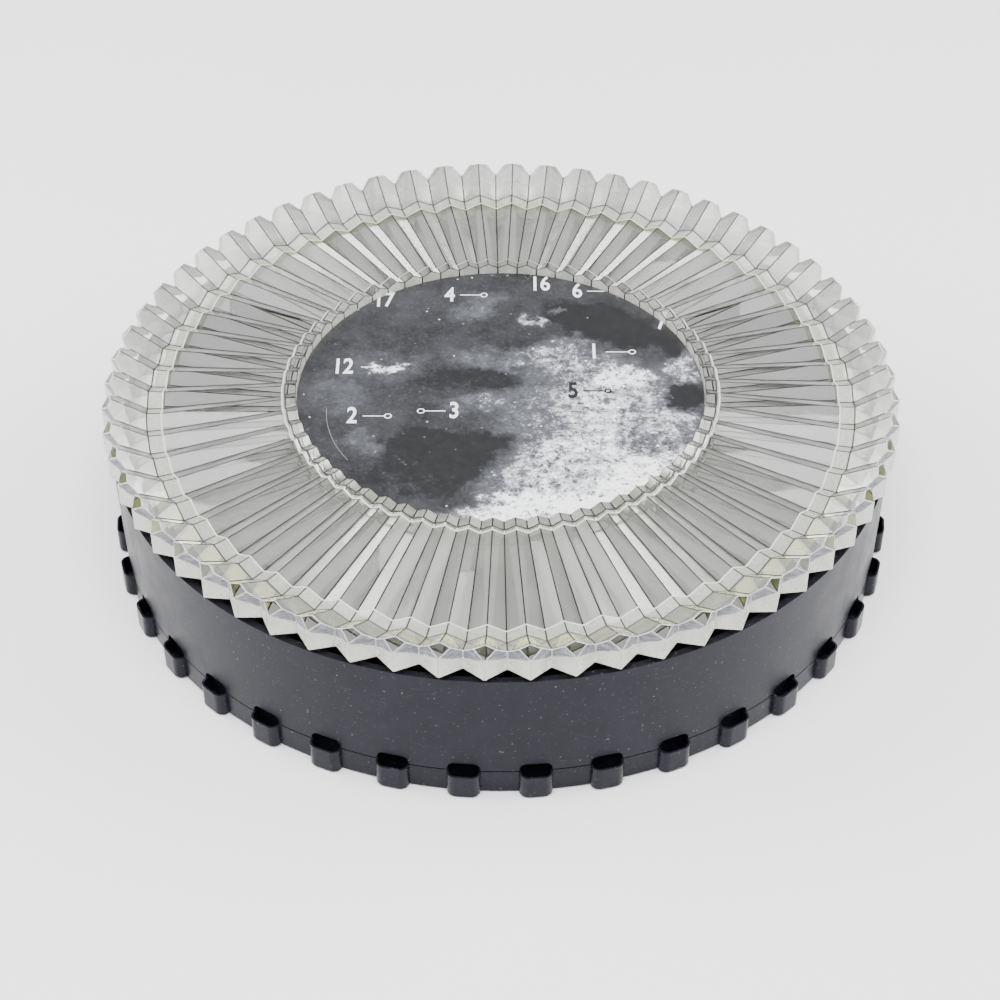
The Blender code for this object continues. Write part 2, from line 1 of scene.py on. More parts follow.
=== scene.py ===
"""The survey prism's looks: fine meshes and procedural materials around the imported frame."""
import json
import math

import bmesh
import bpy
from mathutils import Matrix, Vector


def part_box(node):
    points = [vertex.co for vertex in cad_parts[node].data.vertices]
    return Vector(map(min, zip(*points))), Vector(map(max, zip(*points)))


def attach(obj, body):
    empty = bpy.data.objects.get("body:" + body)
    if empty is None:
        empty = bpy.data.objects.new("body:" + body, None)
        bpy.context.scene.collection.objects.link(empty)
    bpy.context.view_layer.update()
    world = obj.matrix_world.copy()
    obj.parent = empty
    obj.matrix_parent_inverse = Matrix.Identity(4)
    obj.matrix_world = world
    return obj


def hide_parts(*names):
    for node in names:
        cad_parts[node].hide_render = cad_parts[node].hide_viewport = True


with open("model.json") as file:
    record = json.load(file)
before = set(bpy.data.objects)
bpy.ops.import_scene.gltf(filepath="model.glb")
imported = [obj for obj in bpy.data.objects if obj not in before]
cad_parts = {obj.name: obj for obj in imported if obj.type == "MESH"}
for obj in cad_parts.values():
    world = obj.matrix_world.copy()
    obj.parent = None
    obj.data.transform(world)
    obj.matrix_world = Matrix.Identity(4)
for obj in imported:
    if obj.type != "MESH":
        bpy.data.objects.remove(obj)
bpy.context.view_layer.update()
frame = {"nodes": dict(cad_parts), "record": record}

MM = 0.001

# ---------------------------------------------------------------- sizes
# Sizes come from the frame where a node's box gives them. The others repeat the part's own values.


def heights(node):
    low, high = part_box(node)
    return low.z, high.z


def reach(node):
    """The largest radius of a round node that is centred on the axis."""
    low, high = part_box(node)
    return max(-low.x, high.x, -low.y, high.y)


# The clear ring. Heights in RIDGE are over the ring's underside.
PRISM_Z, _ = heights("prism_ring")
TIP_RADIUS = 149.0 * MM
RIB_COUNT = 62
RIB_PHASE = math.radians(-92.05)
HALF_PITCH = math.pi / RIB_COUNT
WALL_VALLEY_RADIUS = 143.6 * MM
VALLEY_OUT = WALL_VALLEY_RADIUS * math.cos(HALF_PITCH)
VALLEY_ACROSS = WALL_VALLEY_RADIUS * math.sin(HALF_PITCH)
BORE_RADIUS = 77.0 * MM
INNER_STEP_RADIUS = 82.3 * MM
OUTER_STEP_RADIUS = 127.2 * MM
SLOPE_RADIUS, SLOPE_HEIGHT = 132.7 * MM, 4.7 * MM
KITE_RADIUS, KITE_HEIGHT = 145.0 * MM, 12.8 * MM
RIDGE = [
    (BORE_RADIUS, 7.9 * MM),
    (81.2 * MM, 7.5 * MM),
    (INNER_STEP_RADIUS, 6.7 * MM),
    (OUTER_STEP_RADIUS, 4.4 * MM),
    (SLOPE_RADIUS, SLOPE_HEIGHT),
    (KITE_RADIUS, KITE_HEIGHT),
]
SLOPE_RISE = (KITE_HEIGHT - SLOPE_HEIGHT) / (KITE_RADIUS - SLOPE_RADIUS)
FACET_FALL = 0.48                     # fall of a rib's side per unit across
KITE_FALL = 1.05                      # fall of a kite per unit outwards
EDGE_BEVEL = 0.28 * MM                # fillet along every edge of the ribs
EDGE_ANGLE = math.radians(2.0)
FACE_MARGIN = 1.0 * MM                # slack when a face is told by its radii
UPRIGHT_NORMAL = 0.1                  # a face whose normal rises less is a wall

# The foot ring and its lugs.
LUG_COUNT = 37
LUG_PHASE = math.radians(-95.0)
LUG_WIDTH = 11.7 * MM
LUG_REACH = 3.3 * MM
LUG_CORNER = 3.2 * MM
LUG_WALL = 0.7 * MM
LUG_ROOT = 1.2 * MM
POCKET_FLOOR = 3.0 * MM
POCKET_INNER_RADIUS = 144.1 * MM
RING_INNER_RADIUS = 141.4 * MM
SPIGOT_INNER_RADIUS = 141.0 * MM
SPIGOT_RADIUS = 143.3 * MM
_, SPIGOT_TOP_Z = heights("lug_ring")
LEDGE_Z = 4.1 * MM
LEDGE_TOP_Z = 6.9 * MM
LEDGE_INNER_RADIUS = 138.6 * MM
FOOT_BEVEL = 0.22 * MM

# The drum.
BASE_Z, _ = heights("base_plate")
SEAM_Z = 10.1 * MM
FIT = 0.3 * MM
DRUM_FOOT_RADIUS = 146.2 * MM
DRUM_TOP_RADIUS = 146.9 * MM
DRUM_WALL = 2.6 * MM
DRUM_BEVEL = 0.25 * MM
_, DRUM_TOP_Z = heights("drum_wall")
NOTCH_HEIGHT = 3.3 * MM
NOTCH_CORNER = 2.4 * MM
NOTCH_DEPTH = 3.0 * DRUM_WALL

# The chart.
CHART_RADIUS = reach("moon_chart")
CHART_Z, CHART_TOP_Z = heights("moon_chart")

# How finely the meshes are made.
FINE_SEGMENTS = 8 * LUG_COUNT
CORNER_STEPS = 6
INK_RING_STEPS = 28
NUMERAL_RESOLUTION = 6
MERGE_DISTANCE = 0.001 * MM
SMOOTH_ANGLE = math.radians(35.0)
BEVEL_ANGLE = math.radians(40.0)
BEVEL_SEGMENTS = 2


# ---------------------------------------------------------------- node materials

PLASTIC_SPECULAR = 0.17
PLASTIC_SCRATCH = 0.3
ACRYLIC_IOR = 1.49
# The outer wall's painted cream glow stands in for light caught in the moulding, and a painted
# reflection is above it.
PAINTED_GLOW_VALLEY = 5.0 * MM                # height of the cream part of the outer wall in a valley
PAINTED_GLOW_TIP = 9.0 * MM                   # and at a tip
BETWEEN_WALLS = 100.0 * MM            # a radius between the bore's wall and the outer wall


class Surface:
    """A Principled material and short calls that add nodes to it."""

    def __init__(self, name, colour, roughness, metallic=0.0):
        self.material = bpy.data.materials.new(name)
        self.material.use_nodes = True
        self.tree = self.material.node_tree
        self.shader = self.tree.nodes["Principled BSDF"]
        self.output = self.tree.nodes["Material Output"]
        self.set("Base Color", (*colour, 1.0))
        self.set("Roughness", roughness)
        self.set("Metallic", metallic)
        self.place = self.tree.nodes.new("ShaderNodeTexCoord").outputs["Object"]

    def set(self, socket, value):
        self.shader.inputs[socket].default_value = value

    def link(self, source, socket):
        self.tree.links.new(source, self.shader.inputs[socket])

    def feed(self, socket, value):
        """Link a node's output to a socket, or set a plain value on it."""
        if isinstance(value, bpy.types.NodeSocket):
            self.tree.links.new(value, socket)
        else:
            socket.default_value = value

    def add(self, kind, output=0, settings=None, **inputs):
        """Add a node. Inputs go by name, or by number as i0, i1 and so on."""
        made = self.tree.nodes.new(kind)
        for name, value in (settings or {}).items():
            setattr(made, name, value)
        for name, value in inputs.items():
            key = int(name[1:]) if name[1:].isdigit() else name
            self.feed(made.inputs[key], value)
        return made.outputs[output]

    def math(self, operation, first, second=0.0, clamp=False):
        settings = {"operation": operation, "use_clamp": clamp}
        return self.add("ShaderNodeMath", settings=settings, i0=first, i1=second)

    def vector_math(self, operation, output=0, **inputs):
        settings = {"operation": operation}
        return self.add("ShaderNodeVectorMath", output=output, settings=settings, **inputs)

    def noise(self, scale, detail=4.0, roughness=0.55):
        return self.add(
            "ShaderNodeTexNoise",
            Vector=self.place,
            Scale=scale,
            Detail=detail,
            Roughness=roughness,
        )

    def streaks(self, scale, detail=2.0):
        """Noise drawn out by different scales along the axes, for scratches and tool lines."""
        drawn = self.add("ShaderNodeMapping", Vector=self.place, Scale=scale)
        return self.add("ShaderNodeTexNoise", Vector=drawn, Scale=1.0, Detail=detail)

    def voronoi(self, scale, output=0):
        return self.add("ShaderNodeTexVoronoi", output=output, Vector=self.place, Scale=scale)

    def remap(self, value, low, high, to_low=0.0, to_high=1.0, smooth=False):
        settings = {"interpolation_type": "SMOOTHSTEP" if smooth else "LINEAR", "clamp": True}
        return self.add(
            "ShaderNodeMapRange",
            settings=settings,
            i0=value,
            i1=low,
            i2=high,
            i3=to_low,
            i4=to_high,
        )

    def mix(self, factor, first, second):
        """Mix two colours, each a node's output or a tuple of three channels."""
        made = self.tree.nodes.new("ShaderNodeMix")
        made.data_type = "RGBA"
        self.feed(made.inputs[0], factor)
        for socket, colour in ((made.inputs[6], first), (made.inputs[7], second)):
            self.feed(socket, (*colour, 1.0) if isinstance(colour, tuple) else colour)
        return made.outputs[2]

    def bump(self, height, strength, distance):
        made = self.tree.nodes.new("ShaderNodeBump")
        made.inputs["Strength"].default_value = strength
        made.inputs["Distance"].default_value = distance
        self.tree.links.new(height, made.inputs["Height"])
        self.link(made.outputs[0], "Normal")


def shaded(colour, factor):
    return tuple(channel * factor for channel in colour)


def moulded_plastic(name, colour, roughness, speck=0.5):
    """Black moulded plastic with mottled gloss, fine scratches and dust."""
    made = Surface(name, colour, roughness)
    made.set("Specular IOR Level", PLASTIC_SPECULAR)
    made.set("Specular Tint", (0.90, 0.90, 1.0, 1.0))
    mottle = made.noise(90.0, 5.0)
    fine = made.noise(1400.0, 3.0)
    lighter = tuple(channel * 1.4 + 0.002 for channel in colour)
    tone = made.mix(made.remap(mottle, 0.35, 0.7), colour, lighter)
    scratches = made.remap(made.streaks((260.0, 260.0, 2600.0)), 0.66, 0.72)
    scratched = made.math("MULTIPLY", scratches, PLASTIC_SCRATCH * 0.25)
    tone = made.mix(scratched, tone, (0.30, 0.30, 0.32))
    chosen = made.add("ShaderNodeSeparateColor", Color=made.voronoi(330.0, output=1))
    dots = made.remap(made.voronoi(330.0), 0.10, 0.05)
    dust = made.math("MULTIPLY", dots, made.remap(chosen, 0.90, 0.92))
    haze = made.math("MULTIPLY", made.remap(made.noise(900.0, 2.0), 0.68, 0.74), 0.35)
    dust = made.math("MULTIPLY", made.math("MAXIMUM", dust, haze), speck)
    made.link(made.mix(dust, tone, (0.50, 0.49, 0.47)), "Base Color")
    gloss = made.remap(mottle, 0.3, 0.7, roughness - 0.05, roughness + 0.07)
    gloss = made.math("ADD", gloss, made.math("MULTIPLY", dust, 0.5), clamp=True)
    made.link(gloss, "Roughness")
    grooves = made.math("MULTIPLY", scratches, -0.6 * PLASTIC_SCRATCH)
    relief = made.math("ADD", made.math("MULTIPLY", fine, 0.4), grooves)
    relief = made.math("ADD", relief, made.math("MULTIPLY", dust, 0.8))
    made.bump(relief, 0.25, 0.06 * MM)
    return made.material


def acrylic_surface(name, colour, roughness, transmission):
    """A surface of the clear moulding. The less it transmits, the hazier it looks."""
    made = Surface(name, colour, roughness)
    made.set("Transmission Weight", transmission)
    made.set("IOR", ACRYLIC_IOR)
    return made


def clear_acrylic():
    """Clear acrylic with a slight yellow-green body tint, faint haze and fine surface scratches."""
    clear = (1.0, 1.0, 0.985)
    made = acrylic_surface("clear_acrylic", clear, 0.03, 1.0)
    grime = made.noise(160.0, 6.0, 0.6)
    scratches = made.remap(made.streaks((900.0, 900.0, 180.0)), 0.66, 0.74)
    gloss = made.remap(grime, 0.35, 0.75, 0.0, 0.05)
    gloss = made.math("ADD", gloss, made.math("MULTIPLY", scratches, 0.10), clamp=True)
    made.link(gloss, "Roughness")
    specks = made.math("MULTIPLY", made.remap(made.voronoi(700.0), 0.09, 0.04), 0.4)
    made.link(made.mix(specks, clear, (0.80, 0.79, 0.72)), "Base Color")
    relief = made.math("ADD", grime, made.math("MULTIPLY", scratches, -0.4))
    made.bump(relief, 0.04, 0.03 * MM)
    absorb = made.tree.nodes.new("ShaderNodeVolumeAbsorption")
    absorb.inputs["Color"].default_value = (0.93, 0.935, 0.80, 1.0)
    absorb.inputs["Density"].default_value = 11.0
    made.tree.links.new(absorb.outputs[0], made.output.inputs["Volume"])
    return made.material


def painted_line_fillet(name, colour, roughness, transmission):
    """A fillet of the clear moulding whose flat colour is a painted line of shade or highlight;
    worn, a little rough, holding grime.
    """
    made = acrylic_surface(name, colour, roughness, transmission)
    grime = made.noise(500.0, 4.0)
    tone = made.mix(made.remap(grime, 0.35, 0.7), shaded(colour, 0.7), colour)
    made.link(tone, "Base Color")
    made.link(made.remap(grime, 0.3, 0.7, roughness - 0.05, roughness + 0.10), "Roughness")
    return made.material


def frosted_face(name, low, high, roughness, transmission, grain):
    """A hazy face of the clear moulding, with a fine grain."""
    made = acrylic_surface(name, low, roughness, transmission)
    speck = made.noise(grain, 4.0, 0.7)
    cloud = made.noise(180.0, 4.0)
    tone = made.mix(made.remap(speck, 0.40, 0.62), low, high)
    tone = made.mix(made.remap(cloud, 0.62, 0.75, 0.0, 0.3), tone, (0.97, 0.97, 0.95))
    made.link(tone, "Base Color")
    made.link(made.remap(cloud, 0.3, 0.7, roughness - 0.05, roughness + 0.08), "Roughness")
    made.bump(speck, 0.10, 0.04 * MM)
    return made.material


def edge_wall():
    """The ring's upright faces, frosted, with a painted cream glow standing in for light caught in
    the moulding.

    Above the glow the outer wall's upper part is painted blue-grey as a painted reflection, most of
    all in the valleys.
    """
    made = acrylic_surface("acrylic_wall", (0.93, 0.93, 0.86), 0.24, 0.45)
    cloud = made.noise(240.0, 5.0)
    lines = made.streaks((300.0, 300.0, 2400.0))
    # Painted glow: this cream tone stands in for light caught in the moulding.
    tone = made.mix(made.remap(cloud, 0.35, 0.7), (0.92, 0.92, 0.81), (0.97, 0.97, 0.90))
    tone = made.mix(made.remap(lines, 0.60, 0.75, 0.0, 0.35), tone, (0.84, 0.84, 0.76))
    apart = made.tree.nodes.new("ShaderNodeSeparateXYZ")
    made.tree.links.new(made.place, apart.inputs[0])
    x, y, z = apart.outputs
    squares = made.math("ADD", made.math("MULTIPLY", x, x), made.math("MULTIPLY", y, y))
    radius = made.math("SQRT", squares)
    # The painted glow reaches higher at the tips than in the valleys, and the bore's wall keeps it
    # all over.
    painted_glow_top = made.remap(radius, WALL_VALLEY_RADIUS, TIP_RADIUS, PAINTED_GLOW_VALLEY, PAINTED_GLOW_TIP)
    over = made.math("SUBTRACT", z, made.math("ADD", painted_glow_top, PRISM_Z))
    over = made.math("ADD", over, made.remap(cloud, 0.3, 0.7, -0.5 * MM, 0.5 * MM))
    over = made.math("SUBTRACT", over, made.math("LESS_THAN", radius, BETWEEN_WALLS))
    # Painted reflection: this blue-grey covers the outer wall above the painted glow.
    clear = made.mix(made.remap(lines, 0.45, 0.60), (0.16, 0.17, 0.21), (0.42, 0.44, 0.50))
    made.link(made.mix(made.remap(over, -0.2 * MM, 0.3 * MM), tone, clear), "Base Color")
    made.link(made.remap(cloud, 0.3, 0.7, 0.22, 0.38), "Roughness")
    made.bump(lines, 0.12, 0.04 * MM)
    return made.material


# The clear ring's material slots, in order.
BODY_SLOT, PAINTED_DARK_LINE_SLOT, STEP_SLOT, WALL_SLOT, RIM_SLOT, BAND_SLOT, SLOPE_SLOT = range(7)


def ring_finishes(body):
    """The clear ring's finishes, in the order of its material slots."""
    return (
        body,
        # Painted shade: near-black opaque fillets stand in for the dark lines along the clear ribs'
        # edges.
        painted_line_fillet("acrylic_painted_dark_line", (0.010, 0.010, 0.010), 0.5, 0.0),
        # Painted highlight: cream fillets along the steps stand in for bright lines there.
        painted_line_fillet("acrylic_painted_step_highlight", (0.92, 0.92, 0.84), 0.35, 0.3),
        edge_wall(),
        # Painted highlight: cream fillets round the rim and the kites stand in for bright outlines.
        painted_line_fillet("acrylic_painted_rim_highlight", (0.92, 0.92, 0.88), 0.2, 0.4),
        frosted_face("acrylic_band", (0.70, 0.71, 0.65), (0.90, 0.91, 0.84), 0.18, 0.65, 900.0),
        frosted_face("acrylic_slope", (0.86, 0.86, 0.83), (0.97, 0.97, 0.95), 0.05, 0.82, 500.0),
    )


def reflector_sheet():
    """Silvered foil, slightly rippled and hazy."""
    made = Surface("reflector_sheet", (0.80, 0.80, 0.79), 0.18, 0.6)
    cloud = made.noise(70.0, 5.0)
    tone = made.mix(made.remap(cloud, 0.35, 0.7), (0.58, 0.58, 0.58), (0.68, 0.68, 0.67))
    fleck = made.remap(made.noise(2600.0, 2.0), 0.6, 0.7)
    tone = made.mix(made.math("MULTIPLY", fleck, 0.3), tone, (0.86, 0.86, 0.85))
    made.link(tone, "Base Color")
    made.link(made.remap(cloud, 0.3, 0.7, 0.10, 0.24), "Roughness")
    relief = made.math("ADD", made.noise(260.0, 3.0), made.math("MULTIPLY", fleck, 0.2))
    made.bump(relief, 0.2, 0.3 * MM)
    return made.material


def bare_metal(name, colour, roughness):
    """Turned or plated metal: tool lines and stains."""
    made = Surface(name, colour, roughness, 1.0)
    lines = made.streaks((900.0, 900.0, 9000.0), 3.0)
    stain = made.noise(420.0, 5.0)
    tone = made.mix(made.remap(stain, 0.4, 0.75), colour, shaded(colour, 0.72))
    made.link(made.mix(made.remap(lines, 0.5, 0.8), tone, shaded(colour, 0.9)), "Base Color")
    made.link(made.remap(lines, 0.3, 0.7, roughness - 0.08, roughness + 0.14), "Roughness")
    made.bump(lines, 0.2, 0.04 * MM)
    return made.material


def soft_solid(name, colour, roughness):
    """Rubber, nylon or board: a fine grain with patches of wear."""
    made = Surface(name, colour, roughness)
    grain = made.noise(600.0, 4.0)
    wear = made.noise(75.0, 5.0)
    tone = made.mix(made.remap(wear, 0.35, 0.7), shaded(colour, 0.78), colour)
    made.link(tone, "Base Color")
    made.link(made.remap(wear, 0.3, 0.7, roughness - 0.08, roughness + 0.08), "Roughness")
    made.bump(grain, 0.3, 0.08 * MM)
    return made.material


def plain_ink(name, colour):
    """Printing ink with slight clouds."""
    made = Surface(name, colour, 0.5)
    cloud = made.noise(900.0, 3.0)
    tone = made.mix(made.remap(cloud, 0.35, 0.7), shaded(colour, 0.9), colour)
    made.link(tone, "Base Color")
    made.link(made.remap(cloud, 0.3, 0.7, 0.42, 0.58), "Roughness")
    return made.material


# The chart's soft patches: centre, radii, turn in degrees and strength. Bright highland is
# positive and dark plains are negative. Places and radii are in millimetres from the centre.
MOON_PATCHES = [
    ((30.0, -50.0), (46.0, 26.0), 12.0, 0.50),
    ((46.0, -8.0), (28.0, 28.0), -20.0, 0.34),
    ((22.0, -16.0), (32.0, 30.0), 0.0, 0.26),
    ((26.0, 18.0), (24.0, 12.0), 5.0, 0.34),
    ((46.0, -58.0), (34.0, 14.0), 38.0, 0.42),
    ((68.0, -24.0), (14.0, 22.0), 12.0, 0.30),
    ((18.0, -70.0), (28.0, 10.0), 8.0, 0.40),
    ((48.0, 9.0), (13.0, 9.0), 20.0, 0.45),
    ((69.0, 14.0), (7.0, 13.0), -10.0, 0.40),
    ((-2.0, 20.0), (22.0, 7.0), 0.0, 0.18),
    ((-8.0, -7.0), (14.0, 5.0), 10.0, 0.22),
    ((2.0, -68.0), (30.0, 8.0), 12.0, 0.55),
    ((-44.0, 14.0), (7.5, 4.0), 0.0, 0.62),
    ((-46.0, 16.0), (20.0, 12.0), 0.0, 0.10),
    ((-9.0, 53.0), (13.0, 10.0), 50.0, 0.20),
    ((13.0, 44.0), (5.0, 3.4), 0.0, 0.45),
    ((24.6, 50.0), (6.0, 2.6), 0.0, 0.38),
    ((28.0, 34.0), (8.0, 12.0), -30.0, 0.22),
    ((-49.0, -30.0), (9.0, 7.0), 0.0, 0.15),
    ((-34.0, -41.0), (10.0, 7.0), 30.0, 0.14),
    ((-26.0, -51.0), (9.0, 5.0), 0.0, 0.16),
    ((-62.0, -2.0), (13.0, 16.0), 0.0, 0.10),
    ((-22.0, -40.0), (26.0, 20.0), 10.0, -0.30),
    ((40.0, 42.0), (28.0, 12.0), -25.0, -0.30),
    ((66.0, 30.0), (8.0, 10.0), 0.0, -0.20),
    ((71.0, -4.0), (7.0, 8.0), 0.0, -0.55),
    ((-12.0, 8.0), (22.0, 8.0), 0.0, -0.12),
]
MOON_WARP = 0.026                     # how far noise bends the patches, in metres per unit
MOON_DARK = (0.009, 0.009, 0.010, 1.0)
MOON_GREY = (0.095, 0.099, 0.112, 1.0)
MOON_BRIGHT = (0.95, 0.96, 0.99, 1.0)
MOON_GREY_AT = 0.40
MOON_BRIGHT_AT = 0.92


def moon_patches(made):
    """The sum of the soft patches, with their outlines bent by noise."""
    warp = made.add(
        "ShaderNodeTexNoise", output=1, Vector=made.place, Scale=85.0, Detail=5.0, Roughness=0.6,
    )
    centred = made.vector_math("SUBTRACT", i0=warp, i1=(0.5, 0.5, 0.5))
    shift = made.vector_math("SCALE", i0=centred, Scale=MOON_WARP)
    bent = made.vector_math("ADD", i0=made.place, i1=shift)
    total = 0.0
    for (x, y), (long, wide), turn, strength in MOON_PATCHES:
        local = made.add(
            "ShaderNodeMapping",
            settings={"vector_type": "TEXTURE"},
            Vector=bent,
            Location=(x * MM, y * MM, CHART_TOP_Z),
            Rotation=(0.0, 0.0, math.radians(turn)),
            Scale=(long * MM, wide * MM, 1.0),
        )
        far = made.vector_math("LENGTH", output=1, i0=local)
        total = made.math("ADD", total, made.remap(far, 1.15, 0.35, 0.0, strength, smooth=True))
    return total


def moon_print():
    """A printed chart of the Moon's plains and highlands, drawn from noise and soft patches."""
    made = Surface("moon_print", (0.10, 0.10, 0.11), 0.42)
    patches = moon_patches(made)
    rough = made.noise(210.0, 9.0, 0.80)
    craters = made.noise(760.0, 6.0, 0.80)
    broken = made.math("MULTIPLY", made.remap(rough, 0.36, 0.64, 0.30, 1.65), patches)
    speckle = made.remap(patches, 0.0, 0.5, 0.12, 0.50)
    speckle = made.math("MULTIPLY", made.remap(craters, 0.50, 0.68), speckle)
    pits = made.remap(patches, 0.1, 0.7, 0.0, -0.40)
    pits = made.math("MULTIPLY", made.remap(made.voronoi(430.0), 0.30, 0.16), pits)
    dots = made.remap(made.noise(60.0, 2.0), 0.46, 0.62, 0.0, 0.70)
    dots = made.math("MULTIPLY", made.remap(made.voronoi(230.0), 0.16, 0.04), dots)
    plains = made.remap(made.noise(38.0, 8.0, 0.72), 0.35, 0.68, 0.0, 0.13)
    level = made.math("ADD", broken, speckle)
    level = made.math("ADD", level, pits)
    level = made.math("ADD", level, dots)
    level = made.math("ADD", level, plains, clamp=True)
    ramp = made.tree.nodes.new("ShaderNodeValToRGB")
    stops = ramp.color_ramp.elements
    stops[0].color = MOON_DARK
    stops[1].position = MOON_BRIGHT_AT
    stops[1].color = MOON_BRIGHT
    stops.new(MOON_GREY_AT).color = MOON_GREY
    made.tree.links.new(level, ramp.inputs[0])
    made.link(ramp.outputs[0], "Base Color")
    made.link(made.remap(made.noise(300.0, 4.0), 0.3, 0.7, 0.36, 0.52), "Roughness")
    made.bump(made.noise(1800.0, 3.0), 0.12, 0.04 * MM)
    return made.material


# ---------------------------------------------------------------- meshes

def polar(radius, azimuth, height=0.0):
    return Vector((radius * math.cos(azimuth), radius * math.sin(azimuth), height))


def upwards(height):
    return Vector((0.0, 0.0, height))


def ring_azimuths(count, phase=0.0):
    return [phase + math.tau * index / count for index in range(count)]


def link_mesh(name, mesh_data):
    """Turn a bmesh into an object of the scene."""
    bmesh.ops.recalc_face_normals(mesh_data, faces=mesh_data.faces)
    mesh = bpy.data.meshes.new(name)
    mesh_data.to_mesh(mesh)
    mesh_data.free()
    made = bpy.data.objects.new(name, mesh)
    bpy.context.scene.collection.objects.link(made)
    return made


def shade_smooth(mesh):
    mesh.shade_smooth()
    mesh.set_sharp_from_angle(angle=SMOOTH_ANGLE)


def add_object(name, mesh_data, finish, smooth=True):
    made = link_mesh(name, mesh_data)
    if smooth:
        shade_smooth(made.data)
    made.data.materials.append(finish)
    return made


def apply_modifiers(made):
    graph = bpy.context.evaluated_depsgraph_get()
    graph.update()
    mesh = bpy.data.meshes.new_from_object(made.evaluated_get(graph))
    old = made.data
    made.modifiers.clear()
    made.data = mesh
    bpy.data.meshes.remove(old)


def combine(target, other, operation):
    """Add another object to the target or cut it out, and remove the other."""
    step = target.modifiers.new(other.name, "BOOLEAN")
    step.operation = operation
    step.solver = "EXACT"
    step.use_self = operation == "UNION"
    step.object = other
    apply_modifiers(target)
    shade_smooth(target.data)
    bpy.data.objects.remove(other, do_unlink=True)


def bevel_edges(made, width):
    edge = made.modifiers.new("edges", "BEVEL")
    edge.width = width
    edge.segments = BEVEL_SEGMENTS
    edge.limit_method = "ANGLE"
    edge.angle_limit = BEVEL_ANGLE
    edge.use_clamp_overlap = True
    apply_modifiers(made)
    shade_smooth(made.data)


def even_out(made):
    """Weight the normals by face area, so large faces stay flat beside small ones."""
    made.modifiers.new("normals", "WEIGHTED_NORMAL").keep_sharp = True
    apply_modifiers(made)


def turned(name, profile, finish):
    """A body turned round the axis from its closed profile of radii and heights."""
    mesh_data = bmesh.new()
    corners = [mesh_data.verts.new((radius, 0.0, height)) for radius, height in profile]
    edges = [
        mesh_data.edges.new((corner, corners[index - 1])) for index, corner in enumerate(corners)
    ]
    bmesh.ops.spin(
        mesh_data,
        geom=corners + edges,
        axis=(0.0, 0.0, 1.0),
        cent=(0.0, 0.0, 0.0),
        angle=math.tau,
        steps=FINE_SEGMENTS,
        use_merge=True,
    )
    bmesh.ops.remove_doubles(mesh_data, verts=mesh_data.verts, dist=MERGE_DISTANCE)
    bmesh.ops.dissolve_degenerate(mesh_data, edges=mesh_data.edges, dist=MERGE_DISTANCE)
    return add_object(name, mesh_data, finish)


def add_prism(mesh_data, outline, offset):
    """Add a solid swept from a flat outline by an offset."""
    corners = [mesh_data.verts.new(point) for point in outline]
    face = mesh_data.faces.new(corners)
    extruded = bmesh.ops.extrude_face_region(mesh_data, geom=[face], use_keep_orig=True)
    moved = [item for item in extruded["geom"] if isinstance(item, bmesh.types.BMVert)]
    bmesh.ops.translate(mesh_data, verts=moved, vec=offset)


def tab_outline(width, rise, corner):
    """A tab with two round corners, as places across and along it."""
    half = [(width / 2.0, 0.0)]
    for index in range(CORNER_STEPS + 1):
        turn = math.pi / 2.0 * index / CORNER_STEPS
        half.append((
            width / 2.0 - corner + corner * math.cos(turn),
            rise - corner + corner * math.sin(turn),
        ))
    return [(-across, along) for across, along in half] + list(reversed(half))


def lug_outline(azimuth, root, width, rise, corner, height):
    """A level tab that points outwards from a root radius."""
    along = polar(1.0, azimuth)
    side = polar(1.0, azimuth + math.pi / 2.0)
    return [
        along * (root + outwards) + side * across + upwards(height)
        for across, outwards in tab_outline(width, rise, corner)
    ]


def notch_outline(azimuth, radius, bottom, top):
    """An upright tab, square to a radius of the drum."""
    along = polar(radius, azimuth)
    side = polar(1.0, azimuth + math.pi / 2.0)
    return [
        along + side * across + upwards(bottom + rise)
        for across, rise in tab_outline(LUG_WIDTH - LUG_WALL, top - bottom, NOTCH_CORNER)
    ]


# ---------------------------------------------------------------- prism ring

def kite_corner():
    """A kite's side corner on the wall, as places out and across and height over the underside."""
    wall_slope = (TIP_RADIUS - VALLEY_OUT) / VALLEY_ACROSS
    turn = SLOPE_RISE + KITE_FALL
    across = turn * (TIP_RADIUS - KITE_RADIUS) / (FACET_FALL + wall_slope * turn)
    out = TIP_RADIUS - wall_slope * across
    return out, across, KITE_HEIGHT - KITE_FALL * (out - KITE_RADIUS)


def valley_points():
    """The valley between two ribs, as radii and heights over the underside."""
    points = []
    for radius, height in RIDGE[:-1]:
        across = radius * math.tan(HALF_PITCH)
        points.append((radius / math.cos(HALF_PITCH), height - FACET_FALL * across))
    top = SLOPE_HEIGHT + SLOPE_RISE * (VALLEY_OUT - SLOPE_RADIUS) - FACET_FALL * VALLEY_ACROSS
    points.append((WALL_VALLEY_RADIUS, top))
    return points


